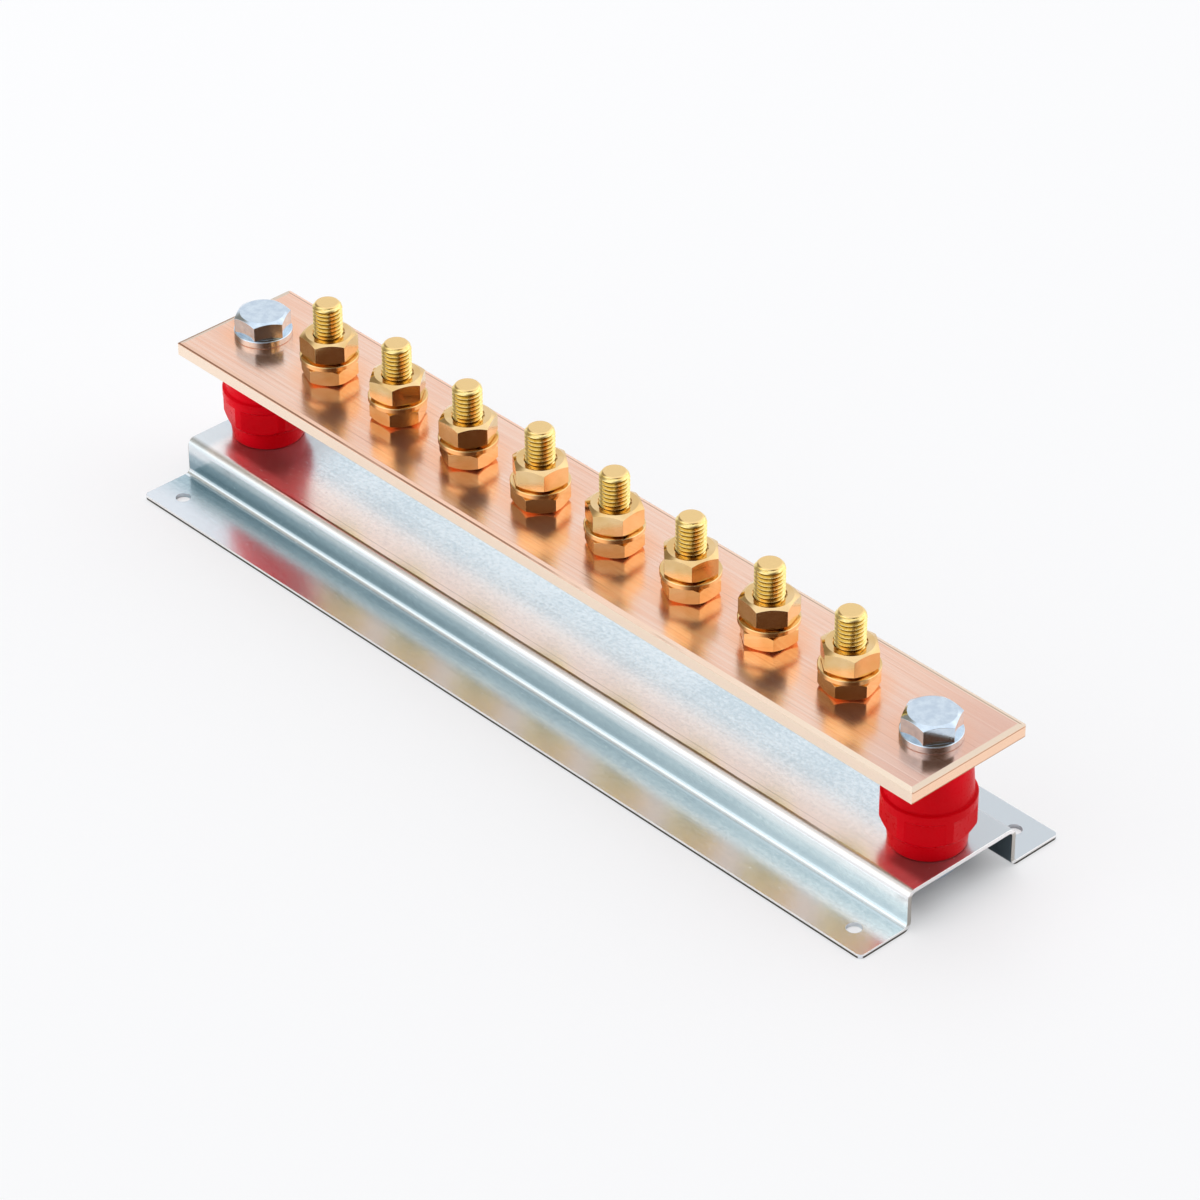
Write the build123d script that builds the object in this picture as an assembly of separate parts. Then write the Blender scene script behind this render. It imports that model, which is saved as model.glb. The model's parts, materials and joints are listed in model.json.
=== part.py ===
from build123d import *
from math import cos, radians, tan
import os

# Grounding busbar: a copper bar with eight brass terminal bolts, held on two
# red standoff insulators above a folded zinc-plated base channel.
# Millimetres. X runs along the bar, Z is up, and the origin is on the mounting
# surface below the middle of the base.

# Copper bar
hole_pitch = 35.0
terminal_count = 8
bar_end_margin = 16.0
bar_width = 50.0
bar_thickness = 5.0
bar_corner_round = 0.8
bar_bevel_width = 2.0
bar_bevel_depth = 0.4
bar_lower_bevel = 0.4

# Folded base channel
base_end_margin = 15.0
base_width = 88.0
channel_width = 47.5
channel_height = 15.0
sheet = 1.5
inner_bend_radius = 1.5
flange_corner_radius = 2.0
flange_hole_diameter = 5.2
flange_hole_end_margin = 11.0
flange_hole_edge_margin = 8.5

# Standoff insulators, heights from the foot
insulator_height = 34.3
insulator_foot_radius = 12.4
insulator_waist_radius = 13.0
insulator_waist_height = 6.0
insulator_band_radius = 15.1
insulator_band_start = 8.3
insulator_band_end = 19.0
insulator_flat_radius = 13.7
insulator_collar_height = 3.0
insulator_shoulder_radius = 14.0
insulator_shoulder_rise = 0.3
insulator_top_radius = 13.0
insulator_edge_round = 0.5
insulator_waist_round = 1.5
insulator_turn = 39.0

# Threaded bushes moulded into both ends of each insulator
bush_radius = 7.0
bush_length = 14.0
bush_groove_width = 3.0
bush_groove_depth = 0.8

# Fasteners
thread_diameter = 10.0
across_flats = 17.0
head_height = 6.4
hex_face_radius = 7.7
hex_chamfer_angle = 30.0
hex_turning_allowance = 0.2
tip_chamfer = 1.2
tip_rise = 1.4
terminal_bolt_length = 35.0
bar_bolt_length = 20.0
base_screw_length = 16.0
nut_height = 8.0
clamp_nut_height = 6.6
nut_countersink = 0.5
washer_radius = 10.0
brass_washer_thickness = 1.8
steel_washer_thickness = 2.5
washer_edge_bevel = 0.2

# Clearances
thread_clearance = 0.05
washer_bore_clearance = 0.25
through_hole_clearance = 0.5

# How far each hexagon is turned, in degrees, counted from the left end
terminal_nut_turns = [51.7, 8.6, 58.5, 24.7, 32.2, 17.7, 50.6, 22.2]
clamp_nut_turns = [37.7, 1.8, 36.2, 47.7, 35.2, 32.5, 23.7, 47.6]
bar_bolt_turns = [2.7, 57.7]
terminal_bolt_turn = 30.0
base_screw_turn = 30.0

# Radii, lengths and levels that follow from the sizes above
thread_radius = thread_diameter / 2
tapped_radius = thread_radius + thread_clearance
washer_bore_radius = thread_radius + washer_bore_clearance
through_hole_radius = thread_radius + through_hole_clearance
hex_corner_radius = across_flats / 2 / cos(radians(30))
outer_bend_radius = inner_bend_radius + sheet
fixing_span = hole_pitch * (terminal_count + 1)
bar_length = fixing_span + 2 * bar_end_margin
base_length = fixing_span + 2 * base_end_margin
bar_bottom = channel_height + insulator_height
bar_top = bar_bottom + bar_thickness
channel_ceiling = channel_height - sheet
sides = ["left", "right"]
fixing_places = [-fixing_span / 2, fixing_span / 2]
terminal_places = [(i + 1) * hole_pitch - fixing_span / 2 for i in range(terminal_count)]


def turned(points, rounds=None):
    """Solid turned about Z from (radius, height) points, with an optional round at each point."""
    path = [(radius, 0, height) for radius, height in points]
    outline = FilletPolyline(path, radius=rounds, close=True) if rounds else Polyline(path, close=True)
    return revolve(make_face(outline), axis=Axis.Z)


def cylinder_at(x, y, radius, bottom, top):
    """Upright cylinder between two levels."""
    return Pos(x, y, bottom) * extrude(Circle(radius), amount=top - bottom)


def hexagon_block(height, bevel_below):
    """Hexagonal block with its upper corners turned off, and its lower ones too where asked."""
    reach = hex_corner_radius + hex_turning_allowance
    slope = tan(radians(hex_chamfer_angle)) * (reach - hex_face_radius)
    lower = [(hex_face_radius, 0), (reach, slope)] if bevel_below else [(reach, 0)]
    upper = [(reach, height - slope), (hex_face_radius, height)]
    prism = extrude(RegularPolygon(across_flats / 2, 6, major_radius=False), amount=height)
    return prism & turned([(0, 0), *lower, *upper, (0, height)])


def hexagon_nut(height):
    """Nut with both faces bevelled and its bore countersunk at both ends."""
    mouth = tapped_radius + nut_countersink
    bore = turned([
        (0, 0),
        (mouth, 0),
        (tapped_radius, nut_countersink),
        (tapped_radius, height - nut_countersink),
        (mouth, height),
        (0, height),
    ])
    return hexagon_block(height, bevel_below=True) - bore


def hexagon_bolt(length):
    """Bolt standing on its head, with the head's bearing face at height 0."""
    head = Rot(180, 0, 0) * hexagon_block(head_height, bevel_below=False)
    shank = turned([
        (0, 0),
        (thread_radius, 0),
        (thread_radius, length - tip_rise),
        (thread_radius - tip_chamfer, length),
        (0, length),
    ])
    return head + shank


def plain_washer(thickness):
    """Flat washer with its rim bevelled on both faces."""
    rim = washer_radius - washer_edge_bevel
    disc = turned([
        (0, 0),
        (rim, 0),
        (washer_radius, washer_edge_bevel),
        (washer_radius, thickness - washer_edge_bevel),
        (rim, thickness),
        (0, thickness),
    ])
    return disc - cylinder_at(0, 0, washer_bore_radius, 0, thickness)


def bush_outline():
    """Outside of a moulded-in bush, with the groove that the plastic grips."""
    groove_start = (bush_length - bush_groove_width) / 2
    groove_end = groove_start + bush_groove_width
    neck = bush_radius - bush_groove_depth
    return turned([
        (0, 0),
        (bush_radius, 0),
        (bush_radius, groove_start),
        (neck, groove_start),
        (neck, groove_end),
        (bush_radius, groove_end),
        (bush_radius, bush_length),
        (0, bush_length),
    ])


def threaded_bush():
    """Brass bush, mouth down."""
    return bush_outline() - cylinder_at(0, 0, tapped_radius, 0, bush_length)


def insulator_body():
    """Moulded standoff: tapered foot, hexagonal grip under a round collar, tapered top."""
    edge = insulator_edge_round
    soft = insulator_waist_round
    shoulder_height = insulator_band_end + insulator_shoulder_rise
    barrel = turned(
        [
            (0, 0),
            (insulator_foot_radius, 0),
            (insulator_waist_radius, insulator_waist_height),
            (insulator_band_radius, insulator_band_start),
            (insulator_band_radius, insulator_band_end),
            (insulator_shoulder_radius, shoulder_height),
            (insulator_top_radius, insulator_height),
            (0, insulator_height),
        ],
        rounds=[0, edge, soft, edge, edge / 2, edge / 2, edge, 0],
    )
    # The flats run from the foot up to the sloping underside of the collar
    core = insulator_flat_radius / 2
    beyond = insulator_band_radius + edge
    collar_start = insulator_band_end - insulator_collar_height
    skirt = turned([
        (core, 0),
        (beyond, 0),
        (beyond, collar_start + beyond - insulator_band_radius),
        (core, collar_start + core - insulator_band_radius),
    ])
    grip = RegularPolygon(insulator_flat_radius, 6, major_radius=False, rotation=insulator_turn)
    flats = skirt - extrude(grip, amount=insulator_height)
    return barrel - flats


def seated_at_ends(bush):
    """The bush's place in the insulator's foot and its place in the top."""
    return [bush, Pos(0, 0, insulator_height) * Rot(180, 0, 0) * bush]


def insulator():
    """Insulator body with the seats of its two bushes."""
    lower, upper = seated_at_ends(bush_outline())
    return insulator_body() - lower - upper


def copper_bar():
    """Flat bar with bevelled edges, softened corners and a clearance hole at every station."""
    bar = extrude(Rectangle(bar_length, bar_width), amount=bar_thickness)
    top = bar.faces().sort_by(Axis.Z)[-1]
    bar = chamfer(top.edges(), bar_bevel_width, bar_bevel_depth, reference=top)
    bar = chamfer(bar.faces().sort_by(Axis.Z)[0].edges(), bar_lower_bevel)
    bar &= extrude(RectangleRounded(bar_length, bar_width, bar_corner_round), amount=bar_thickness)
    bar = Pos(0, 0, bar_bottom) * bar
    for x in fixing_places + terminal_places:
        bar -= cylinder_at(x, 0, through_hole_radius, bar_bottom, bar_top)
    return bar


def base_channel():
    """Hat-shaped channel folded from one sheet, with holes in its flanges and its top."""
    rim = base_width / 2
    wall = channel_width / 2
    inside = wall - sheet
    right_half = [
        (0, rim, 0),
        (0, rim, sheet),
        (0, wall, sheet),
        (0, wall, channel_height),
    ]
    under_right_half = [
        (0, inside, channel_ceiling),
        (0, inside, 0),
    ]
    left_half = [(0, -y, z) for _, y, z in reversed(right_half)]
    under_left_half = [(0, -y, z) for _, y, z in reversed(under_right_half)]
    path = right_half + left_half + under_left_half + under_right_half
    bends = [0, 0, inner_bend_radius, outer_bend_radius]
    under_bends = [inner_bend_radius, outer_bend_radius]
    rounds = bends + bends[::-1] + under_bends[::-1] + under_bends
    section = make_face(FilletPolyline(path, radius=rounds, close=True))
    channel = extrude(section, amount=base_length / 2, dir=(1, 0, 0), both=True)
    corners = channel.edges().filter_by(Axis.Z).filter_by(lambda edge: abs(edge.center().Y) > rim - sheet)
    channel = fillet(corners, flange_corner_radius)
    hole_x = base_length / 2 - flange_hole_end_margin
    hole_y = base_width / 2 - flange_hole_edge_margin
    for x in [-hole_x, hole_x]:
        for y in [-hole_y, hole_y]:
            channel -= cylinder_at(x, y, flange_hole_diameter / 2, 0, sheet)
    for x in fixing_places:
        channel -= cylinder_at(x, 0, through_hole_radius, channel_ceiling, channel_height)
    return channel


def fixing_set(side, x, bolt_turn):
    """Everything on the axis of one insulator."""
    bushes = seated_at_ends(threaded_bush())
    washer = plain_washer(steel_washer_thickness)
    foot = Pos(x, 0, channel_height)
    under_ceiling = channel_ceiling - steel_washer_thickness
    on_bar_washer = bar_top + steel_washer_thickness
    head_up = Rot(0, 0, bolt_turn) * Rot(180, 0, 0)
    return {
        f"insulator_{side}": foot * insulator(),
        f"insulator_{side}_bottom_bush": foot * bushes[0],
        f"insulator_{side}_top_bush": foot * bushes[1],
        f"base_washer_{side}": Pos(x, 0, under_ceiling) * washer,
        f"base_screw_{side}": Pos(x, 0, under_ceiling) * Rot(0, 0, base_screw_turn) * hexagon_bolt(base_screw_length),
        f"bar_washer_{side}": Pos(x, 0, bar_top) * washer,
        f"bar_bolt_{side}": Pos(x, 0, on_bar_washer) * head_up * hexagon_bolt(bar_bolt_length),
    }


def terminal_set(number, x, clamp_turn, nut_turn):
    """One terminal: bolt and washer below the bar, then clamp nut, washer and terminal nut."""
    washer = plain_washer(brass_washer_thickness)
    under = bar_bottom - brass_washer_thickness
    on_clamp_nut = bar_top + clamp_nut_height
    on_washer = on_clamp_nut + brass_washer_thickness
    bolt = Rot(0, 0, terminal_bolt_turn) * hexagon_bolt(terminal_bolt_length)
    clamp_nut = Rot(0, 0, clamp_turn) * hexagon_nut(clamp_nut_height)
    terminal_nut = Rot(0, 0, nut_turn) * hexagon_nut(nut_height)
    return {
        f"terminal_bolt_{number}": Pos(x, 0, under) * bolt,
        f"bolt_head_washer_{number}": Pos(x, 0, under) * washer,
        f"clamp_nut_{number}": Pos(x, 0, bar_top) * clamp_nut,
        f"terminal_washer_{number}": Pos(x, 0, on_clamp_nut) * washer,
        f"terminal_nut_{number}": Pos(x, 0, on_washer) * terminal_nut,
    }


pieces = {"base_channel": base_channel(), "copper_bar": copper_bar()}
for side, x, turn in zip(sides, fixing_places, bar_bolt_turns):
    pieces.update(fixing_set(side, x, turn))
for i, x in enumerate(terminal_places):
    clamp_turn = clamp_nut_turns[i % len(clamp_nut_turns)]
    nut_turn = terminal_nut_turns[i % len(terminal_nut_turns)]
    pieces.update(terminal_set(i + 1, x, clamp_turn, nut_turn))

os.makedirs("parts", exist_ok=True)
for name, solid in pieces.items():
    export_step(solid, f"parts/{name}.step")
    print(name, round(solid.volume, 1))
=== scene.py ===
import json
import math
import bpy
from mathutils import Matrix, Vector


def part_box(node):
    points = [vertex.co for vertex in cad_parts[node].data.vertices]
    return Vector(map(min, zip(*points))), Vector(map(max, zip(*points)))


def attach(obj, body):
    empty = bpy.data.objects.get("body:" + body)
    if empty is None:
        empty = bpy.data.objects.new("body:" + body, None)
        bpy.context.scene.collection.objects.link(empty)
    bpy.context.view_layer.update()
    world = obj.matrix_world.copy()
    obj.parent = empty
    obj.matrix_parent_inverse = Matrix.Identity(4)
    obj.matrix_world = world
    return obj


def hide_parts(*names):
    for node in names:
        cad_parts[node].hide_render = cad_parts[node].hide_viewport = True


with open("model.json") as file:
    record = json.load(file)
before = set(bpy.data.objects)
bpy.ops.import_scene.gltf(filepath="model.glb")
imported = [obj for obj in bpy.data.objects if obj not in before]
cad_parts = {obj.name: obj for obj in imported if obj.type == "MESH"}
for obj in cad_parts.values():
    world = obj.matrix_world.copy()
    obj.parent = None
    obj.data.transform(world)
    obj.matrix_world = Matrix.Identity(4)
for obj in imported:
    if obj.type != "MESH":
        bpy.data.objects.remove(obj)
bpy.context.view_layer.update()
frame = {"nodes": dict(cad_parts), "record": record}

# %% [markdown]
# # A grounding busbar
# This is the copper bar that all the earth wires of a cabinet come together on.
# Eight brass bolts stand in a row on it.
# Two red insulators hold it above a folded zinc-plated base.
# The construction comes in as the frame, and no piece of it is moved or reshaped here.
# This lesson cuts the threads that the construction leaves plain.
# Then it finishes each surface and lights the whole.


nodes = frame["nodes"]
scene = bpy.context.scene
mm = 0.001
print("pieces of the frame:", len(nodes))

# %% [markdown]
# ## Cutting the threads
# Each terminal bolt is threaded from its head to its tip, and its end stands above the nuts.
# A thread could be painted on as bump, but its outline would stay smooth and catch no light.
# Here one tooth is drawn and swept up a helix, as a die cuts it, so the thread is really there.
# First the tooth: it starts as one point, which is extruded along the root, flank and crest.

# %% One tooth of the thread
thread_pitch = 1.5 * mm
thread_depth = 0.92 * mm
crest_radius = 5.0 * mm
crest_flat = thread_pitch / 8
root_flat = thread_pitch / 4
flank_rise = (thread_pitch - crest_flat - root_flat) / 2


def deselect_all():
    """Leaves nothing selected, because an operator acts on all that is."""
    bpy.ops.object.select_all(action="DESELECT")


def make_active(item):
    """Selects one object alone and makes it the one that operators work on."""
    deselect_all()
    item.select_set(True)
    bpy.context.view_layer.objects.active = item


def point_object(name, place):
    """An object that holds a single point, to be drawn out by extruding."""
    deselect_all()
    bpy.ops.mesh.primitive_plane_add(size=mm, location=place)
    item = bpy.context.object
    item.name = name
    bpy.ops.object.transform_apply(location=True, rotation=False, scale=False)
    bpy.ops.object.mode_set(mode="EDIT")
    bpy.ops.mesh.select_all(action="SELECT")
    bpy.ops.mesh.merge(type="CENTER")
    return item


bolt_low, bolt_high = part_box("terminal_bolt_1")
head_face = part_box("bolt_head_washer_1")[0].z
sweep_start = head_face - 2 * thread_pitch
tooth = point_object("tooth", (crest_radius - thread_depth, 0, sweep_start))
tooth_path = [
    (0, root_flat),
    (thread_depth, flank_rise),
    (0, crest_flat),
    (-thread_depth, flank_rise),
]
for outward, upward in tooth_path:
    bpy.ops.mesh.extrude_region_move(TRANSFORM_OT_translate={"value": (outward, 0, upward)})
bpy.ops.object.mode_set(mode="OBJECT")
print("points in the tooth:", len(tooth.data.vertices))

# %% [markdown]
# The Screw modifier carries the tooth up the helix, one turn to each pitch.
# Its turns only touch, so doubles are merged, and two flat cuts then close the rod at both ends.
# A cut takes every point within 0.1 mm as lying on it, unless its threshold says less.
# Beside so small a tooth that is coarse and leaves gaps, so the threshold is made much finer.

# %% The threaded rod
steps_per_turn = 64
spare_turns = 2
cut_tolerance = 0.0005 * mm
turn_gap = 0.002 * mm
sweep_turns = math.ceil((bolt_high.z - sweep_start) / thread_pitch) + spare_turns


def apply_modifiers(item):
    """Makes every modifier of an object part of its mesh."""
    make_active(item)
    for modifier in list(item.modifiers):
        bpy.ops.object.modifier_apply(modifier=modifier.name)


def cut_flat(item, height, keep_below, fill=True):
    """Cuts an object at one height, and closes the cut where asked."""
    make_active(item)
    bpy.ops.object.mode_set(mode="EDIT")
    bpy.ops.mesh.select_all(action="SELECT")
    bpy.ops.mesh.bisect(
        plane_co=(0, 0, height),
        plane_no=(0, 0, 1),
        use_fill=fill,
        clear_outer=keep_below,
        clear_inner=not keep_below,
        threshold=cut_tolerance,
    )
    bpy.ops.object.mode_set(mode="OBJECT")


def tidy_mesh(item, merge_distance):
    """Merges doubles and turns every face outwards."""
    make_active(item)
    bpy.ops.object.mode_set(mode="EDIT")
    bpy.ops.mesh.select_all(action="SELECT")
    bpy.ops.mesh.remove_doubles(threshold=merge_distance)
    bpy.ops.mesh.normals_make_consistent(inside=False)
    bpy.ops.object.mode_set(mode="OBJECT")


sweep = tooth.modifiers.new("sweep", "SCREW")
sweep.axis = "Z"
sweep.angle = math.tau
sweep.screw_offset = thread_pitch
sweep.iterations = sweep_turns
sweep.steps = steps_per_turn
sweep.render_steps = steps_per_turn
apply_modifiers(tooth)
rod = tooth
rod.name = "threaded_rod"
tidy_mesh(rod, turn_gap)
cut_flat(rod, head_face, keep_below=False)
cut_flat(rod, bolt_high.z, keep_below=True)
print("faces in the rod:", len(rod.data.polygons))

# %% [markdown]
# A real bolt is turned to a blunt tip before its thread is cut, so the last turns fade away.
# The blank with that tip is a cylinder whose end is extruded and drawn in.
# What the rod and the blank share is kept, which gives the fading turns without any drawing.

# %% The blunt tip
tip_rise = 1.4 * mm
tip_radius = 3.8 * mm
tip_round = 0.35 * mm
tip_round_steps = 3
blank_sides = 96
blank_foot = head_face - mm
blank_radius = crest_radius + 0.02 * mm
blank_shoulder = bolt_high.z - tip_rise


def top_face_only(item):
    """In edit mode, selects the highest level face alone."""
    bpy.ops.mesh.select_mode(type="FACE")
    bpy.ops.mesh.select_all(action="DESELECT")
    bpy.ops.object.mode_set(mode="OBJECT")
    top = max(item.data.polygons, key=lambda face: face.center.z)
    top.select = True
    bpy.ops.object.mode_set(mode="EDIT")


deselect_all()
bpy.ops.mesh.primitive_cylinder_add(
    vertices=blank_sides,
    radius=blank_radius,
    depth=blank_shoulder - blank_foot,
    location=(0, 0, (blank_shoulder + blank_foot) / 2),
)
blank = bpy.context.object
blank.name = "blank"
bpy.ops.object.transform_apply(location=True, rotation=False, scale=False)
bpy.ops.object.mode_set(mode="EDIT")
top_face_only(blank)
bpy.ops.mesh.extrude_region_move(TRANSFORM_OT_translate={"value": (0, 0, tip_rise)})
drawn_in = tip_radius / blank_radius
bpy.ops.transform.resize(value=(drawn_in, drawn_in, 1), center_override=(0, 0, bolt_high.z))
bpy.ops.mesh.bevel(offset=tip_round, segments=tip_round_steps, affect="EDGES")
bpy.ops.object.mode_set(mode="OBJECT")

keep_shared = rod.modifiers.new("keep_shared", "BOOLEAN")
keep_shared.operation = "INTERSECT"
keep_shared.solver = "EXACT"
keep_shared.object = blank
apply_modifiers(rod)
bpy.data.objects.remove(blank)
print("faces with the tip:", len(rod.data.polygons))

# %% [markdown]
# The head is right in the construction already, so a copy of it is used.
# Its triangles are loose there, so they are merged first.
# The plain shank is cut off, which leaves a round hole in the bearing face.
# Bridging that hole's rim to the rim of the rod's foot makes head and thread one closed piece.

# %% Head and thread in one
reach = 0.3 * mm
near = 0.01 * mm
same_point = 0.001 * mm
facing_down = -0.9
smooth_below = math.radians(28)


def merged_copy(node, name):
    """A copy of a piece of the frame as one connected mesh."""
    item = nodes[node].copy()
    item.data = nodes[node].data.copy()
    item.name = name
    item.data.name = name
    item.parent = None
    scene.collection.objects.link(item)
    for key in list(item.keys()):
        del item[key]
    make_active(item)
    bpy.ops.mesh.customdata_custom_splitnormals_clear()
    tidy_mesh(item, same_point)
    return item


def delete_faces(item, wanted):
    """Deletes the faces for which wanted(face) holds."""
    make_active(item)
    bpy.ops.object.mode_set(mode="EDIT")
    bpy.ops.mesh.select_mode(type="FACE")
    bpy.ops.mesh.select_all(action="DESELECT")
    bpy.ops.object.mode_set(mode="OBJECT")
    for face in item.data.polygons:
        face.select = wanted(face)
    bpy.ops.object.mode_set(mode="EDIT")
    bpy.ops.mesh.delete(type="FACE")
    bpy.ops.object.mode_set(mode="OBJECT")


first_axis = (bolt_low.x + bolt_high.x) / 2
head = merged_copy("terminal_bolt_1", "terminal_bolt")
cut_flat(head, head_face + reach, keep_below=True, fill=False)
delete_faces(head, lambda face: face.center.z > head_face + near)
delete_faces(rod, lambda face: face.center.z < head_face + near and face.normal.z < facing_down)
rod.data.transform(Matrix.Translation((first_axis, 0, 0)))
deselect_all()
rod.select_set(True)
head.select_set(True)
bpy.context.view_layer.objects.active = head
bpy.ops.object.join()
bpy.ops.object.mode_set(mode="EDIT")
bpy.ops.mesh.select_mode(type="EDGE")
bpy.ops.mesh.select_all(action="DESELECT")
bpy.ops.mesh.select_non_manifold(use_wire=False, use_multi_face=False, use_verts=False)
bpy.ops.mesh.bridge_edge_loops()
bpy.ops.mesh.select_all(action="SELECT")
bpy.ops.mesh.normals_make_consistent(inside=False)
bpy.ops.object.mode_set(mode="OBJECT")
make_active(head)
bpy.ops.object.shade_smooth_by_angle(angle=smooth_below)
first_bolt = head
print("faces in a bolt:", len(first_bolt.data.polygons))

# %% [markdown]
# The eight bolts are alike, so the one that is made is copied to each place, each with its own mesh.
# Each stands in for the plain bolt of the frame at that place.

# %% Eight bolts
terminal_count = sum(1 for name in nodes if name.startswith("terminal_bolt_"))
threaded_bolts = []
for number in range(1, terminal_count + 1):
    low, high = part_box(f"terminal_bolt_{number}")
    bolt = first_bolt.copy()
    bolt.data = first_bolt.data.copy()
    bolt.name = f"threaded_bolt_{number}"
    bolt.data.name = bolt.name
    bolt.data.transform(Matrix.Translation(((low.x + high.x) / 2 - first_axis, 0, 0)))
    scene.collection.objects.link(bolt)
    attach(bolt, "root")
    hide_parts(f"terminal_bolt_{number}")
    threaded_bolts.append(bolt)
bpy.data.objects.remove(first_bolt)
print("threaded bolts:", len(threaded_bolts))

# %% [markdown]
# ## Finishes
# Every finish is built from noise that is fixed to the object, measured in millimetres.
# Its nodes could be set by hand in the editor, but a material of many nodes is hard to read there.
# So a small toolbox comes first, in three layers: a bench that adds nodes, then patterns, then places.

# %% A bench for nodes


class Bench:
    """One material under construction, with its shader and its nodes."""

    def __init__(self, name, metallic, roughness):
        self.material = bpy.data.materials.new(name)
        self.material.use_nodes = True
        self.tree = self.material.node_tree
        self.shader = self.tree.nodes["Principled BSDF"]
        self.shader.inputs["Metallic"].default_value = metallic
        self.shader.inputs["Roughness"].default_value = roughness
        self.place = self.add("ShaderNodeTexCoord").outputs["Object"]

    def add(self, kind, settings=None, **inputs):
        """Adds a node; a value sets its input, and an output socket is linked to it."""
        node = self.tree.nodes.new(kind)
        for key, value in (settings or {}).items():
            setattr(node, key, value)
        for key, value in inputs.items():
            self.feed(self.socket(node, key), value)
        return node

    def socket(self, node, key):
        """An input by name, or by number when the key is written as in_0."""
        if key.startswith("in_"):
            return node.inputs[int(key[3:])]
        return node.inputs[key.replace("_", " ")]

    def feed(self, socket, value):
        """Links an output to a socket, or writes a plain value into it."""
        if isinstance(value, bpy.types.NodeSocket):
            self.tree.links.new(value, socket)
        else:
            socket.default_value = value

    def colour(self, value):
        self.feed(self.shader.inputs["Base Color"], value)

    def roughness(self, value):
        self.feed(self.shader.inputs["Roughness"], value)

    def normal(self, value):
        self.feed(self.shader.inputs["Normal"], value)


print("bench ready")

# %% [markdown]
# Noise is stretched by giving it fewer cells to a millimetre on one axis than on the others.
# A ramp picks out the part of its range that counts, and a mix turns that share into a colour.

# %% Patterns


class Patterns(Bench):
    """Noise, sums and mixes, measured in millimetres on the object."""

    def scaled(self, cells_per_mm):
        """Object coordinates counted in cells, so many to a millimetre on each axis."""
        scale = [cells / mm for cells in cells_per_mm]
        return self.add("ShaderNodeMapping", Vector=self.place, Scale=scale).outputs["Vector"]

    def noise(self, cells_per_mm, detail=3.0, rough=0.55):
        """Noise from 0 to 1."""
        node = self.add(
            "ShaderNodeTexNoise",
            Vector=self.scaled(cells_per_mm),
            Scale=1.0,
            Detail=detail,
            Roughness=rough,
        )
        return node.outputs["Fac"]

    def ramp(self, value, start, end, low=0.0, high=1.0, smooth=True):
        """Maps one range of a value onto another, and clamps it."""
        kind = "SMOOTHSTEP" if smooth else "LINEAR"
        node = self.add(
            "ShaderNodeMapRange",
            {"interpolation_type": kind},
            in_0=value,
            in_1=start,
            in_2=end,
            in_3=low,
            in_4=high,
        )
        return node.outputs[0]

    def math(self, operation, first, second=0.0, third=0.0):
        """One sum on up to three values."""
        settings = {"operation": operation}
        node = self.add("ShaderNodeMath", settings, in_0=first, in_1=second, in_2=third)
        return node.outputs[0]

    def mix(self, amount, first, second):
        """Colour between two others."""
        settings = {"data_type": "RGBA"}
        node = self.add("ShaderNodeMix", settings, in_0=amount, in_6=first, in_7=second)
        return node.outputs[2]


print("patterns ready")

# %% [markdown]
# Some marks have their place: a line along an edge, a ring round each bolt.
# For these the shader works out where on the object it is, and makes a mask, 1 there and 0 elsewhere.
# Bump gives a pattern its depth, and the Bevel node rounds sharp edges in the shading alone.

# %% Places, masks and relief


class Finish(Patterns):
    """A finish with marks in their places, and with relief."""

    def line(self, value, centre, half_width, soft=0.12):
        """1 where a value lies within so much of a centre, fading out over a soft border."""
        away = self.math("ABSOLUTE", self.math("SUBTRACT", value, centre))
        return self.ramp(away, half_width, half_width + soft, 1.0, 0.0)

    def both(self, first, second):
        """Where two masks hold together."""
        return self.math("MULTIPLY", first, second)

    def axes(self):
        """The x, y and z of a place on the object, in millimetres."""
        split = self.add("ShaderNodeSeparateXYZ", Vector=self.scaled((1, 1, 1)))
        return split.outputs

    def off_axis(self, pitch_mm):
        """Distance in millimetres from the nearest bolt of a row that stands at one pitch."""
        along, across = self.axes()[:2]
        offset = self.math("SUBTRACT", self.math("WRAP", along, pitch_mm, 0.0), pitch_mm / 2)
        squares = self.math("MULTIPLY_ADD", offset, offset, self.math("MULTIPLY", across, across))
        return self.math("SQRT", squares)

    def bump(self, height, depth_mm, strength=1.0, normal=None):
        """Bump whose full range is so many millimetres deep."""
        node = self.add("ShaderNodeBump", Height=height, Distance=depth_mm * mm, Strength=strength)
        if normal is not None:
            self.feed(node.inputs["Normal"], normal)
        return node.outputs["Normal"]

    def soft_edges(self, radius_mm):
        """Normals that round off the sharp edges, as a tumbled or plated edge is."""
        node = self.add("ShaderNodeBevel", {"samples": 6}, Radius=radius_mm * mm)
        return node.outputs["Normal"]


print("toolbox ready")

# %% [markdown]
# ### Polished copper
# The bar is bare copper, drawn and then polished along its length, so its marks run from end to end.
# One flat colour with low roughness would look like a painted mirror.
# Noise that is stretched some hundred times along the bar gives long streaks of a warmer tone.

# %% Copper
copper = Finish("polished_copper", metallic=0.97, roughness=0.2)
streaks = copper.noise((0.010, 0.9, 0.9), detail=5.0, rough=0.65)
fine_lines = copper.noise((0.03, 6.0, 6.0), detail=3.0, rough=0.6)
clouds = copper.noise((0.02, 0.05, 0.05), detail=3.0)
bright_copper = (0.94, 0.685, 0.555, 1.0)
warm_copper = (0.91, 0.57, 0.43, 1.0)
streak_amount = copper.ramp(streaks, 0.38, 0.62, 0.0, 0.7)
cloud_amount = copper.ramp(clouds, 0.38, 0.68, 0.0, 0.5)
tone = copper.math("ADD", streak_amount, cloud_amount)
top_colour = copper.mix(tone, bright_copper, warm_copper)
print("copper nodes for the streaks:", len(copper.tree.nodes))

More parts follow.
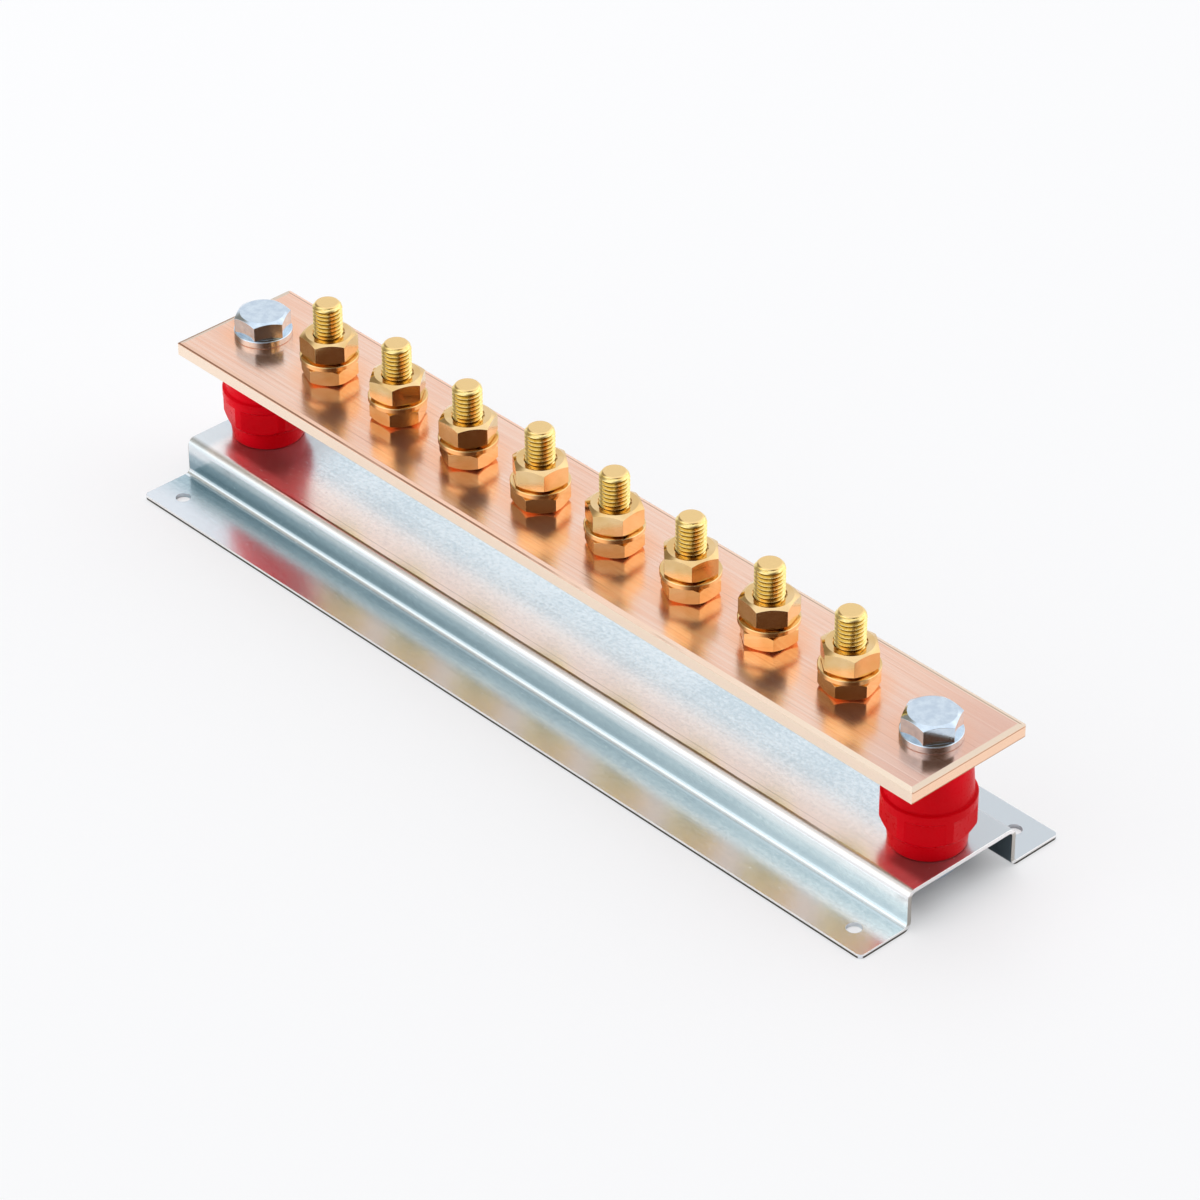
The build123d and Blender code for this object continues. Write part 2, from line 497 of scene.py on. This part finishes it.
# %% [markdown]
# The copper is more orange in a ring round each bolt, and pinker towards its right end.
# Its underside is painted paler than the rest, as painted light on a face that stands in shade under
# the bar.

# %% Tones of the copper
bolt_pitch = 35.0
ring_inner = 10.0
ring_outer = 17.0
tinted_copper = (1.0, 0.50, 0.28, 1.0)
pink_copper = (0.74, 0.47, 0.39, 1.0)
underside_painted_light = (1.0, 0.80, 0.70, 1.0)
near_bolt = copper.ramp(copper.off_axis(bolt_pitch), ring_inner, ring_outer, 0.5, 0.0)
top_colour = copper.mix(near_bolt, top_colour, tinted_copper)
copper_x, copper_y, copper_z = copper.axes()
# Painted light: the underside of the bar is painted paler.
underneath = copper.ramp(copper_z, 49.5, 49.7, 1.0, 0.0)
top_colour = copper.mix(underneath, top_colour, underside_painted_light)
right_end = copper.ramp(copper_x, 120.0, 175.0, 0.0, 0.7)
top_colour = copper.mix(right_end, top_colour, pink_copper)
print("copper nodes with the tones:", len(copper.tree.nodes))

# %% [markdown]
# Fine dark scratches and fainter pale lines lie over the tone.
# The finest noise makes the gloss uneven, and with the streaks it gives the surface its relief.
# That relief is a few thousandths of a millimetre deep, which is enough to draw reflections out.

# %% Scratches and gloss of the copper
scratched_copper = (0.60, 0.30, 0.20, 1.0)
rubbed_copper = (0.98, 0.82, 0.72, 1.0)
scratches = copper.noise((0.02, 2.6, 2.6), detail=2.0)
scratch_share = copper.ramp(scratches, 0.60, 0.72, 0.0, 0.45)
top_colour = copper.mix(scratch_share, top_colour, scratched_copper)
pale_lines = copper.noise((0.015, 1.7, 1.7), detail=2.0)
line_share = copper.ramp(pale_lines, 0.62, 0.72, 0.0, 0.28)
top_colour = copper.mix(line_share, top_colour, rubbed_copper)
copper.roughness(copper.ramp(fine_lines, 0.2, 0.8, 0.16, 0.26))
copper_normal = copper.bump(fine_lines, 0.004, normal=copper.soft_edges(0.25))
copper.normal(copper.bump(streaks, 0.008, normal=copper_normal))
print("copper nodes with the scratches:", len(copper.tree.nodes))

# %% [markdown]
# The bevel round the top of the bar is painted paler, as a painted highlight, and its sides get
# painted light.
# They could have a material of their own, but then the mesh would have to be cut up for it.
# Instead the distance to the nearest edge and the height say which part of the bar a point is on.

# %% Where the edges of the bar are
bar_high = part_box("copper_bar")[1]
bar_bevel = 2.0
beside = copper.math("SUBTRACT", copper.math("ABSOLUTE", copper_y), bar_high.y / mm)
beyond = copper.math("SUBTRACT", copper.math("ABSOLUTE", copper_x), bar_high.x / mm)
edge_reach = copper.math("MAXIMUM", beside, beyond)
at_end = copper.ramp(copper.math("SUBTRACT", beyond, beside), -0.1, 0.1)
at_front = copper.ramp(copper_y, -1.0, 1.0, 1.0, 0.0)
not_end = copper.math("SUBTRACT", 1.0, at_end)
to_right = copper.ramp(copper_x, -60.0, 180.0)
on_band = copper.ramp(edge_reach, -bar_bevel - 0.05, -bar_bevel + 0.1)
below_band = copper.ramp(copper_z, 53.75, 53.9, 1.0, 0.0)
at_rim = copper.ramp(edge_reach, -0.7, -0.5)
on_side = copper.both(below_band, at_rim)
print("half length of the bar in mm:", round(bar_high.x / mm, 1))

# %% [markdown]
# The bevel is a narrow band round the top, and the sides stand below it.
# The band's painted highlight grows paler towards the right, and the end faces are painted warmer than
# the front, as painted light.

# %% Painted highlights on the edges
band_highlight_left = (1.0, 0.665, 0.51, 1.0)
band_highlight_right = (0.89, 0.74, 0.59, 1.0)
band_highlight_end = (0.73, 0.60, 0.48, 1.0)
front_face_painted_light = (1.0, 0.82, 0.66, 1.0)
end_face_painted_light = (1.0, 0.68, 0.48, 1.0)
# Painted highlight on the bevel band, and painted light on the front and end faces.
band_highlight_front = copper.mix(to_right, band_highlight_left, band_highlight_right)
band_painted_highlight = copper.mix(at_end, band_highlight_front, band_highlight_end)
side_painted_light = copper.mix(at_end, front_face_painted_light, end_face_painted_light)
print("copper nodes with the edges:", len(copper.tree.nodes))

# %% [markdown]
# A thin brown line runs along the back edge and along the left of the front edge.
# The clouds move the place where the front line ends, so that it doesn't stop at one ruled point.
# On the end faces two fainter lines run along the sheared corners.

# %% Dark lines on the edges
dark_edge_line = (0.32, 0.15, 0.08, 1.0)
faint_edge_line = (0.55, 0.26, 0.14, 1.0)
wander = copper.ramp(clouds, 0.3, 0.7, -70.0, 70.0)
left_share = copper.ramp(copper.math("ADD", copper_x, wander), -60.0, 40.0, 1.0, 0.0)
front_edge = copper.line(edge_reach, -0.5, 0.22)
front_line = copper.both(front_edge, copper.both(at_front, left_share))
back_edge = copper.line(edge_reach, -1.3, 0.25)
along_back = copper.math("SUBTRACT", copper.both(not_end, 0.6), at_front)
back_line = copper.both(back_edge, along_back)
upper_corner = copper.line(copper_z, 53.55, 0.12)
lower_corner = copper.line(copper_z, 49.7, 0.25)
end_line = copper.both(copper.math("MAXIMUM", upper_corner, lower_corner), at_end)
edge_light_and_lines = copper.mix(on_side, band_painted_highlight, side_painted_light)
long_lines = copper.math("MAXIMUM", front_line, back_line)
edge_light_and_lines = copper.mix(long_lines, edge_light_and_lines, dark_edge_line)
edge_light_and_lines = copper.mix(copper.both(end_line, on_side), edge_light_and_lines, faint_edge_line)
copper.colour(copper.mix(on_band, top_colour, edge_light_and_lines))
print("copper nodes:", len(copper.tree.nodes))

# %% [markdown]
# ### Turned and milled brass
# Nuts, washers and bushes are bright brass bar, with faint tool marks and sharp, shiny edges.
# A lathe's marks run round the piece, so this noise is much finer in height than across.

# %% Brass
brass = Finish("bright_brass", metallic=1.0, roughness=0.16)
tool_marks = brass.noise((0.9, 0.9, 7.0), detail=2.0)
brass_clouds = brass.noise((0.12, 0.12, 0.12), detail=2.0)
pale_brass = (0.84, 0.60, 0.31, 1.0)
deep_brass = (0.76, 0.50, 0.21, 1.0)
brass.colour(brass.mix(brass.ramp(brass_clouds, 0.35, 0.7), pale_brass, deep_brass))
brass.roughness(brass.ramp(tool_marks, 0.2, 0.8, 0.08, 0.17))
brass.normal(brass.bump(tool_marks, 0.006, normal=brass.soft_edges(0.08)))
print("brass nodes:", len(brass.tree.nodes))

# %% [markdown]
# The threads are a little yellower than the nuts, and their roots are painted dark, as painted shade
# in the grooves.
# How deep a point lies is its distance from the nearest bolt's axis, as the bolts stand at one pitch.

# %% Threaded brass
cut_brass = Finish("thread_cut_brass", metallic=1.0, roughness=0.2)
cut_marks = cut_brass.noise((0.9, 0.9, 3.0), detail=2.0)
yellow_brass = (0.98, 0.80, 0.37, 1.0)
shaded_brass = (0.90, 0.66, 0.22, 1.0)
root_painted_shade = (0.38, 0.24, 0.04, 1.0)
tip_brass = (0.88, 0.62, 0.28, 1.0)
cut_z = cut_brass.axes()[2]
below_tip = cut_brass.ramp(cut_z, 80.8, 81.4, 1.0, 0.0)
root_share = cut_brass.ramp(cut_brass.off_axis(bolt_pitch), 4.1, 4.5, 1.0, 0.0)
in_root = cut_brass.both(root_share, below_tip)
cut_colour = cut_brass.mix(cut_brass.ramp(cut_marks, 0.35, 0.7), yellow_brass, shaded_brass)
# Painted shade in the roots of the thread.
cut_colour = cut_brass.mix(in_root, cut_colour, root_painted_shade)
on_tip = cut_brass.ramp(cut_z, 82.1, 82.4)
cut_brass.colour(cut_brass.mix(on_tip, cut_colour, tip_brass))
cut_brass.normal(cut_brass.bump(cut_marks, 0.003))
print("thread nodes:", len(cut_brass.tree.nodes))

# %% [markdown]
# ### Zinc-plated sheet
# The base is folded from sheet that was plated with bright zinc.
# It mirrors what stands on it, but softly, and rolling has left streaks along its length.
# Four noises of different size are added up and ramped, because plating is uneven at every scale.

# %% Zinc sheet
zinc_sheet = Finish("bright_zinc_sheet", metallic=0.9, roughness=0.25)
roll_streaks = zinc_sheet.noise((0.010, 0.5, 0.5), detail=5.0, rough=0.6)
grain = zinc_sheet.noise((1.1, 1.5, 1.5), detail=4.0)
mottle = zinc_sheet.noise((0.55, 0.8, 0.8), detail=5.0, rough=0.7)
zinc_clouds = zinc_sheet.noise((0.03, 0.05, 0.05), detail=3.0)
zinc_sum = zinc_sheet.math("ADD", mottle, zinc_sheet.math("MULTIPLY", zinc_clouds, 0.5))
zinc_sum = zinc_sheet.math("MULTIPLY_ADD", grain, 0.5, zinc_sum)
zinc_sum = zinc_sheet.math("MULTIPLY_ADD", roll_streaks, 0.35, zinc_sum)
zinc_tone = zinc_sheet.ramp(zinc_sum, 0.97, 1.42)
print("zinc sheet nodes for the tone:", len(zinc_sheet.tree.nodes))

# %% [markdown]
# The top isn't quite flat: it rises by nearly half a millimetre towards the front bend.
# So small a rise is seen only in how the reflections lean, and bump is enough for it.

# %% Relief of the sheet
rise_start = -3.0
rise_end = -23.0
rise_height = 0.45
zinc_sheet.roughness(zinc_sheet.ramp(grain, 0.2, 0.8, 0.18, 0.28))
zinc_normal = zinc_sheet.bump(grain, 0.006, normal=zinc_sheet.soft_edges(0.2))
zinc_normal = zinc_sheet.bump(roll_streaks, 0.010, normal=zinc_normal)
front_rise = zinc_sheet.ramp(zinc_sheet.axes()[1], rise_end, rise_start, 1.0, 0.0)
zinc_sheet.normal(zinc_sheet.bump(front_rise, rise_height, normal=zinc_normal))
print("zinc sheet nodes with the relief:", len(zinc_sheet.tree.nodes))

# %% [markdown]
# The plating isn't even, and over that the top is painted brighter than the sides and whiter towards
# the front, as painted light.
# Round the insulators, at both ends, it is painted darker, as painted shade.
# So the finish first works out where on the folded sheet a point lies.

# %% Zones of the sheet
zinc_x, zinc_y, zinc_z = zinc_sheet.axes()
on_top = zinc_sheet.ramp(zinc_z, 13.2, 14.6)
from_middle = zinc_sheet.math("ABSOLUTE", zinc_y)
between_webs = zinc_sheet.ramp(from_middle, 22.5, 22.9, 1.0, 0.0)
below_top = zinc_sheet.ramp(zinc_z, 13.3, 13.9, 1.0, 0.0)
inside = zinc_sheet.both(between_webs, below_top)
to_front = zinc_sheet.ramp(zinc_y, -12.0, -2.0, 1.0, 0.0)
left_start = zinc_sheet.ramp(zinc_x, -164.0, -156.0)
left_finish = zinc_sheet.ramp(zinc_x, -140.0, -124.0, 1.0, 0.0)
by_left = zinc_sheet.both(left_start, left_finish)
to_end = zinc_sheet.math("MAXIMUM", by_left, zinc_sheet.ramp(zinc_x, 153.0, 159.0))
print("zinc sheet nodes with the zones:", len(zinc_sheet.tree.nodes))

# %% [markdown]
# The top has a pale tone and a darker one, and the noise decides between them.
# A pale strip of painted highlight runs along its front edge, and its left tip is a blue grey.

# %% Plating and painted light on the top
pale_back = (0.84, 0.93, 0.98, 1.0)
pale_front = (1.0, 0.98, 0.97, 1.0)
blue_back = (0.62, 0.74, 0.81, 1.0)
blue_front = (0.86, 0.84, 0.84, 1.0)
back_end_painted_shade = (0.58, 0.64, 0.68, 1.0)
front_end_painted_shade = (0.38, 0.34, 0.33, 1.0)
end_shade_grain = (0.62, 0.60, 0.60, 1.0)
strip_painted_highlight = (1.0, 0.97, 0.96, 1.0)
tip_zinc = (0.64, 0.73, 0.78, 1.0)
# Whiter towards the front, as painted light.
pale_top = zinc_sheet.mix(to_front, pale_back, pale_front)
blue_top = zinc_sheet.mix(to_front, blue_back, blue_front)
top_zinc = zinc_sheet.mix(zinc_tone, pale_top, blue_top)
# Painted shade round the insulators at both ends.
end_painted_shade = zinc_sheet.mix(to_front, back_end_painted_shade, front_end_painted_shade)
end_painted_shade = zinc_sheet.mix(zinc_sheet.both(grain, 0.4), end_painted_shade, end_shade_grain)
top_zinc = zinc_sheet.mix(to_end, top_zinc, end_painted_shade)
# Painted highlight along the front edge.
front_strip = zinc_sheet.ramp(zinc_y, -19.0, -15.0, 0.8, 0.0)
top_zinc = zinc_sheet.mix(front_strip, top_zinc, strip_painted_highlight)
left_tip = zinc_sheet.ramp(zinc_x, -166.0, -161.0, 0.7, 0.0)
top_zinc = zinc_sheet.mix(left_tip, top_zinc, tip_zinc)
print("zinc sheet nodes with the top:", len(zinc_sheet.tree.nodes))

# %% [markdown]
# The press that folded the sheet left two lines along the front bend, a strong one and a faint one.
# Both fade out towards the ends.

# %% Marks of the press
press_mark = (0.25, 0.17, 0.11, 1.0)
faint_line = zinc_sheet.line(zinc_y, -18.5, 0.12)
bend_line = zinc_sheet.line(zinc_y, -21.2, 0.3)
from_ends = zinc_sheet.ramp(zinc_sheet.math("ABSOLUTE", zinc_x), 100.0, 160.0, 0.85, 0.1)
marks = zinc_sheet.math("MULTIPLY_ADD", faint_line, 0.35, bend_line)
top_zinc = zinc_sheet.mix(zinc_sheet.both(marks, from_ends), top_zinc, press_mark)
print("zinc sheet nodes with the marks:", len(zinc_sheet.tree.nodes))

# %% [markdown]
# The webs are painted bluer and darker than the top, and darker still towards the left end, as painted
# shade.
# They are painted darkest low on the web, and a painted highlight lies right under the bend.

# %% Plating and painted light on the webs
# Painted light along the sheet, darker at the left end.
along = zinc_sheet.ramp(zinc_x, -170.0, 190.0, smooth=False)
pale_side = zinc_sheet.mix(along, (0.48, 0.62, 0.68, 1.0), (0.88, 0.95, 0.97, 1.0))
blue_side = zinc_sheet.mix(along, (0.34, 0.47, 0.54, 1.0), (0.68, 0.78, 0.82, 1.0))
side_zinc = zinc_sheet.mix(zinc_tone, pale_side, blue_side)
# Painted shade low on the web.
low_web_painted_shade = zinc_sheet.mix(along, (0.22, 0.33, 0.39, 1.0), (0.66, 0.76, 0.81, 1.0))
low_share = zinc_sheet.ramp(zinc_z, 5.0, 8.0, 0.8, 0.0)
side_zinc = zinc_sheet.mix(low_share, side_zinc, low_web_painted_shade)
# Painted highlight right under the bend.
below_bend = zinc_sheet.ramp(zinc_z, 8.2, 11.0, 0.0, 0.85)
bend_painted_highlight = zinc_sheet.mix(along, (0.90, 0.97, 1.0, 1.0), (1.0, 1.0, 1.0, 1.0))
side_zinc = zinc_sheet.mix(below_bend, side_zinc, bend_painted_highlight)
print("zinc sheet nodes with the webs:", len(zinc_sheet.tree.nodes))

# %% [markdown]
# The front flange is paler towards its edge, and the bend at the foot of the front web gets a painted
# highlight.
# The back of the base and the inside of the channel are painted darker, as painted shade.

# %% Plating and painted light on the flanges, the back and the inside
flange_edge_zinc = (0.90, 0.92, 0.97, 1.0)
bend_foot_painted_highlight = (0.82, 0.90, 0.94, 1.0)
back_painted_shade = (0.62, 0.67, 0.71, 1.0)
inside_painted_shade = (0.20, 0.26, 0.30, 1.0)
on_flange = zinc_sheet.ramp(zinc_z, 1.6, 2.0, 1.0, 0.0)
flange_zinc = zinc_sheet.mix(zinc_tone, pale_side, blue_side)
to_flange_edge = zinc_sheet.ramp(from_middle, 27.0, 41.0, 0.0, 0.75)
flange_zinc = zinc_sheet.mix(to_flange_edge, flange_zinc, flange_edge_zinc)
side_zinc = zinc_sheet.mix(on_flange, side_zinc, flange_zinc)
# Painted highlight on the bend at the foot of the front web.
in_bend = zinc_sheet.ramp(zinc_z, 2.8, 3.4, 1.0, 0.0)
by_web = zinc_sheet.ramp(from_middle, 25.6, 26.2, 1.0, 0.0)
side_zinc = zinc_sheet.mix(zinc_sheet.both(in_bend, by_web), side_zinc, bend_foot_painted_highlight)
# Painted shade on the back of the base.
at_back = zinc_sheet.ramp(zinc_y, 23.0, 24.0)
side_zinc = zinc_sheet.mix(at_back, side_zinc, back_painted_shade)
plating_and_painted_light = zinc_sheet.mix(on_top, side_zinc, top_zinc)
# Painted shade inside the channel.
plating_and_painted_light = zinc_sheet.mix(inside, plating_and_painted_light, inside_painted_shade)
print("zinc sheet nodes with the flanges:", len(zinc_sheet.tree.nodes))

# %% [markdown]
# Where the sheet was sheared, its upper rim gets a painted highlight and its lower rim a painted
# contact shadow.
# The cut ends of the webs are an even grey.

# %% Sheared edges
rim_painted_shadow = (0.07, 0.06, 0.045, 1.0)
rim_painted_highlight = (1.0, 1.0, 1.0, 1.0)
web_grey = (0.52, 0.50, 0.46, 1.0)
base_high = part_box("base_channel")[1]
past_end = zinc_sheet.math("SUBTRACT", zinc_sheet.math("ABSOLUTE", zinc_x), base_high.x / mm)
past_side = zinc_sheet.math("SUBTRACT", from_middle, base_high.y / mm)
sheared = zinc_sheet.ramp(zinc_sheet.math("MAXIMUM", past_end, past_side), -0.2, -0.1)
above_flange = zinc_sheet.ramp(zinc_z, 1.6, 2.4)
below_plate = zinc_sheet.ramp(zinc_z, 12.5, 13.5, 1.0, 0.0)
web_end = zinc_sheet.both(above_flange, below_plate)
# Painted highlight on the upper rim, painted contact shadow on the lower rim.
rim = zinc_sheet.mix(zinc_sheet.ramp(zinc_z, 0.65, 0.85), rim_painted_shadow, rim_painted_highlight)
rim = zinc_sheet.mix(web_end, rim, web_grey)
zinc_sheet.colour(zinc_sheet.mix(sheared, plating_and_painted_light, rim))
print("zinc sheet nodes:", len(zinc_sheet.tree.nodes))

# %% [markdown]
# ### Zinc-plated forgings
# The bolts through the bar were forged, so their faces are slightly uneven under the plating.
# A broad, shallow noise bends the reflections a little, and a fine one breaks up the gloss.

# %% Zinc bolts
zinc_bolt = Finish("bright_zinc_bolt", metallic=1.0, roughness=0.2)
forged = zinc_bolt.noise((0.35, 0.35, 0.35), detail=3.0)
speckle = zinc_bolt.noise((3.0, 3.0, 3.0), detail=2.0)
pale_plate = (0.68, 0.78, 0.87, 1.0)
grey_plate = (0.56, 0.66, 0.77, 1.0)
zinc_bolt.colour(zinc_bolt.mix(zinc_bolt.ramp(forged, 0.3, 0.7), pale_plate, grey_plate))
zinc_bolt.roughness(zinc_bolt.ramp(speckle, 0.2, 0.8, 0.09, 0.17))
forged_normal = zinc_bolt.bump(forged, 0.02, normal=zinc_bolt.soft_edges(0.2))
zinc_bolt.normal(zinc_bolt.bump(speckle, 0.004, normal=forged_normal))
print("zinc bolt nodes:", len(zinc_bolt.tree.nodes))

# %% [markdown]
# ### Moulded red plastic
# The insulators are a thick moulding: deep red, half glossy, with a faint orange-peel skin.
# The specular level is low, so that the red stays deep under a bright tent.

# %% Red plastic
plastic = Finish("red_moulding", metallic=0.0, roughness=0.3)
plastic_gloss = 0.05
plastic.shader.inputs["Specular IOR Level"].default_value = plastic_gloss
skin = plastic.noise((0.8, 0.8, 0.8), detail=2.0)
patches = plastic.noise((0.05, 0.05, 0.05), detail=1.0)
bright_red = (0.88, 0.0006, 0.012, 1.0)
deep_red = (0.66, 0.0004, 0.006, 1.0)
plastic.colour(plastic.mix(plastic.ramp(patches, 0.3, 0.7), bright_red, deep_red))
plastic.roughness(plastic.ramp(skin, 0.2, 0.8, 0.24, 0.36))
plastic.normal(plastic.bump(skin, 0.008, normal=plastic.soft_edges(0.3)))
print("plastic nodes:", len(plastic.tree.nodes))

# %% [markdown]
# Each piece of the frame says which finish it takes, so one table dresses them all.

# %% Dressing the pieces
finish_of_slot = {
    "copper": copper,
    "brass": brass,
    "zinc_sheet": zinc_sheet,
    "zinc_steel": zinc_bolt,
    "red_plastic": plastic,
}
slot_of_node = {row["node"]: row["material_slot"] for row in frame["record"]["subparts"]}
for name, piece in nodes.items():
    for slot in piece.material_slots:
        slot.material = finish_of_slot[slot_of_node[name]].material
for bolt in threaded_bolts:
    bolt.data.materials.clear()
    bolt.data.materials.append(cut_brass.material)
print("pieces dressed:", len(nodes) + len(threaded_bolts))

# %% [markdown]
# ## The studio
# Such a part is photographed on a sheet of white paper, in a light tent and under a soft lamp.
# The paper is a large plane just below the part.

# %% Floor
floor_half = 6.0
floor_drop = 0.05 * mm
deselect_all()
bpy.ops.mesh.primitive_plane_add(size=2 * floor_half, location=(0, 0, -floor_drop))
floor = bpy.context.object
floor.name = "floor"
paper = Finish("pale_paper", metallic=0.0, roughness=0.9)
paper.shader.inputs["Specular IOR Level"].default_value = 0.0
paper.colour((0.90, 0.905, 0.92, 1.0))
print("floor half width:", floor_half)

# %% [markdown]
# More light would turn the paper white, but the pale metal would then clip to white with it.
# So the paper glows a little, only where the camera looks at it, and lights nothing.
# The glow fades out under the channel, where the shade is deepest.

# %% White of the paper
paper_glow = (0.96, 0.967, 0.98, 1.0)
glow_share = 0.55
rays = paper.add("ShaderNodeLightPath")
glow = paper.add("ShaderNodeEmission", Color=paper_glow)
floor_x, floor_y = paper.axes()[:2]
under_x = paper.ramp(paper.math("ABSOLUTE", floor_x), 152.0, 186.0, 1.0, 0.0)
under_y = paper.ramp(paper.math("ABSOLUTE", floor_y), 10.0, 30.0, 1.0, 0.0)
shaded_share = paper.math("MULTIPLY", paper.both(under_x, under_y), glow_share)
open_share = paper.math("SUBTRACT", glow_share, shaded_share)
seen_glow = paper.both(rays.outputs["Is Camera Ray"], open_share)
blend = paper.add("ShaderNodeMixShader", in_0=seen_glow)
paper.tree.links.new(paper.shader.outputs[0], blend.inputs[1])
paper.tree.links.new(glow.outputs[0], blend.inputs[2])
paper.tree.links.new(blend.outputs[0], paper.tree.nodes["Material Output"].inputs["Surface"])
floor.data.materials.append(paper.material)
print("paper nodes:", len(paper.tree.nodes))

# %% [markdown]
# The tent, the lamp and the camera are all placed by directions seen from the part.
# Each direction is an angle round from the front and a height above the floor.

# %% Directions seen from the object
camera_azimuth = math.radians(47.218)
camera_height = math.radians(35.059)


def direction(azimuth, height):
    """Unit vector at an angle round from the front, -Y, towards the right, +X, and at a height."""
    level = math.cos(height)
    return Vector((math.sin(azimuth) * level, -math.cos(azimuth) * level, math.sin(height)))


towards_camera = direction(camera_azimuth, camera_height)
print("towards the camera:", tuple(round(part, 3) for part in towards_camera))

# %% [markdown]
# ### The tent
# Bright metal shows what stands round it, so the tent matters more than the lamp.
# It could be built of planes, but a patch of the world does the same and needs no mesh.
# A patch is round, with a soft border, and is laid over what the tent has there so far.

# %% Patches of the tent
world = bpy.data.worlds.new("tent")
scene.world = world
world.use_nodes = True
sky = world.node_tree.nodes
links = world.node_tree.links
sky_place = sky.new("ShaderNodeTexCoord").outputs["Generated"]


def sky_ramp(value, start, end):
    """Rises smoothly from 0 to 1 over a range of the value."""
    node = sky.new("ShaderNodeMapRange")
    node.interpolation_type = "SMOOTHSTEP"
    links.new(value, node.inputs["Value"])
    node.inputs["From Min"].default_value = start
    node.inputs["From Max"].default_value = end
    return node.outputs[0]


def round_patch(azimuth, height, inner, outer):
    """1 in a round patch of the tent and 0 outside, by the angle from its middle in degrees."""
    towards = sky.new("ShaderNodeVectorMath")
    towards.operation = "DOT_PRODUCT"
    towards.inputs[1].default_value = direction(math.radians(azimuth), math.radians(height))
    links.new(sky_place, towards.inputs[0])
    border = math.cos(math.radians(outer))
    middle = math.cos(math.radians(inner))
    return sky_ramp(towards.outputs["Value"], border, middle)


def laid_over(ground, patch, colour):
    """The tent's colour with another one laid over it in a patch."""
    node = sky.new("ShaderNodeMix")
    node.data_type = "RGBA"
    links.new(patch, node.inputs[0])
    if isinstance(ground, bpy.types.NodeSocket):
        links.new(ground, node.inputs[6])
    else:
        node.inputs[6].default_value = ground
    node.inputs[7].default_value = colour
    return node.outputs[2]


print("tent nodes so far:", len(sky))

# %% [markdown]
# The walls are white. Two of them and the roof are brighter, as if lamps shone through the cloth.
# A dark opening to the right of the camera turns the near faces of the nuts dark.
# A grey one at the left does the same, more weakly, for the faces on that side.

# %% Walls, roof and openings
white_wall = (0.95, 0.96, 0.98, 1.0)
lit_back = (1.38, 1.36, 1.33, 1.0)
lit_front = (1.48, 1.47, 1.45, 1.0)
lit_roof = (1.14, 1.16, 1.19, 1.0)
grey_opening = (0.34, 0.30, 0.24, 1.0)
dark_opening = (0.09, 0.042, 0.014, 1.0)
roof_foot = math.sin(math.radians(44))
roof_ridge = math.sin(math.radians(56))
heights = sky.new("ShaderNodeSeparateXYZ")
links.new(sky_place, heights.inputs[0])
roof = sky_ramp(heights.outputs["Z"], roof_foot, roof_ridge)
tent_colour = laid_over(white_wall, round_patch(145, 35, 25, 60), lit_back)
tent_colour = laid_over(tent_colour, round_patch(-22, 35, 14, 40), lit_front)
tent_colour = laid_over(tent_colour, roof, lit_roof)
tent_colour = laid_over(tent_colour, round_patch(-78, 30, 8, 36), grey_opening)
tent_colour = laid_over(tent_colour, round_patch(68, 35, 12, 46), dark_opening)
links.new(tent_colour, sky["Background"].inputs["Color"])
print("tent nodes:", len(sky))

# %% [markdown]
# One large lamp stands high at the back left, so that the part's soft shadow falls to the front right.
# Its mirror image would be a glare in the copper, so reflections leave it out.

# %% Soft lamp
lamp_reach = 1.6
lamp_size = 1.2
lamp_power = 5.0
lamp_from = direction(math.radians(250), math.radians(62))
lamp_data = bpy.data.lights.new("soft_lamp", "AREA")
lamp_data.shape = "SQUARE"
lamp_data.size = lamp_size
lamp_data.energy = lamp_power
lamp = bpy.data.objects.new("soft_lamp", lamp_data)
scene.collection.objects.link(lamp)
lamp.location = lamp_from * lamp_reach
lamp.rotation_euler = lamp_from.to_track_quat("Z", "Y").to_euler()
lamp.visible_glossy = False
print("lamp at:", tuple(round(part, 2) for part in lamp.location))

# %% [markdown]
# ## The camera
# The view is from the front right and above, through a long lens, so the far end hardly narrows.
# The lens follows from the focal length in pixels that fits the photograph's 1200 pixels.

# %% Camera
camera_distance = 1589.66 * mm
camera_target = Vector((10.363 * mm, 0, 28.98 * mm))
camera_roll = math.radians(-0.367)
focal_pixels = 4920.2
image_pixels = 1200
sensor_width = 36.0
level_right = Vector((math.cos(camera_azimuth), math.sin(camera_azimuth), 0))
level_up = towards_camera.cross(level_right)
right = level_right * math.cos(camera_roll) + level_up * math.sin(camera_roll)
up = level_up * math.cos(camera_roll) - level_right * math.sin(camera_roll)
camera_data = bpy.data.cameras.new("camera")
camera_data.sensor_width = sensor_width
camera_data.lens = focal_pixels / image_pixels * sensor_width
camera = bpy.data.objects.new("camera", camera_data)
scene.collection.objects.link(camera)
turned = Matrix((right, up, towards_camera)).transposed().to_4x4()
camera.matrix_world = Matrix.Translation(camera_target + towards_camera * camera_distance) @ turned
scene.camera = camera
print("lens:", round(camera_data.lens, 1))

# %% [markdown]
# Colours are shown as they are written, without a film look.

scene.view_settings.view_transform = "Standard"
